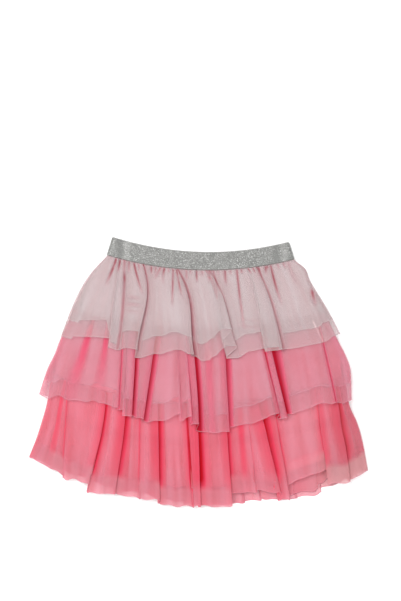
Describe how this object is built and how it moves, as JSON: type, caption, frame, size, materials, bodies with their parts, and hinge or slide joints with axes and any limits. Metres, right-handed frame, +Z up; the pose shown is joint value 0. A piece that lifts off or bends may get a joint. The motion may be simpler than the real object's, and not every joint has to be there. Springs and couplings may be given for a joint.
{
  "type": "tulle skirt",
  "caption": "Girl's layered tulle skirt laid flat: ruffled net tiers from pale to deep pink over an underskirt, on a glittery silver elastic waistband.",
  "frame": {"origin": "bottom centre of the bounding box, on the surface that the skirt lies on", "axes": "+Z up out of the surface, towards the skirt's front; +Y from the hem to the waist; +X to the right as the front is seen, which is the wearer's left"},
  "size_m": [0.4801, 0.3808, 0.0226],
  "materials": {
    "silver_elastic": "ribbed elastic knitted with silver lurex, glittery",
    "underskirt_jersey": "plain matt knitted lining, pink",
    "pale_pink_net": "fine soft tulle, pale dusty pink, translucent, cut edge",
    "mid_pink_net": "fine soft tulle, mid pink, translucent, cut edge",
    "deep_pink_net": "fine soft tulle, deep pink, translucent, cut edge"
  },
  "bodies": {
    "root": {"waistband": "silver_elastic", "underskirt": "underskirt_jersey", "tier_1_outer": "pale_pink_net", "tier_1_under": "pale_pink_net", "tier_2_outer": "mid_pink_net", "tier_2_under": "mid_pink_net", "tier_3_outer": "deep_pink_net", "tier_3_under": "deep_pink_net"}
  },
  "joints": []
}
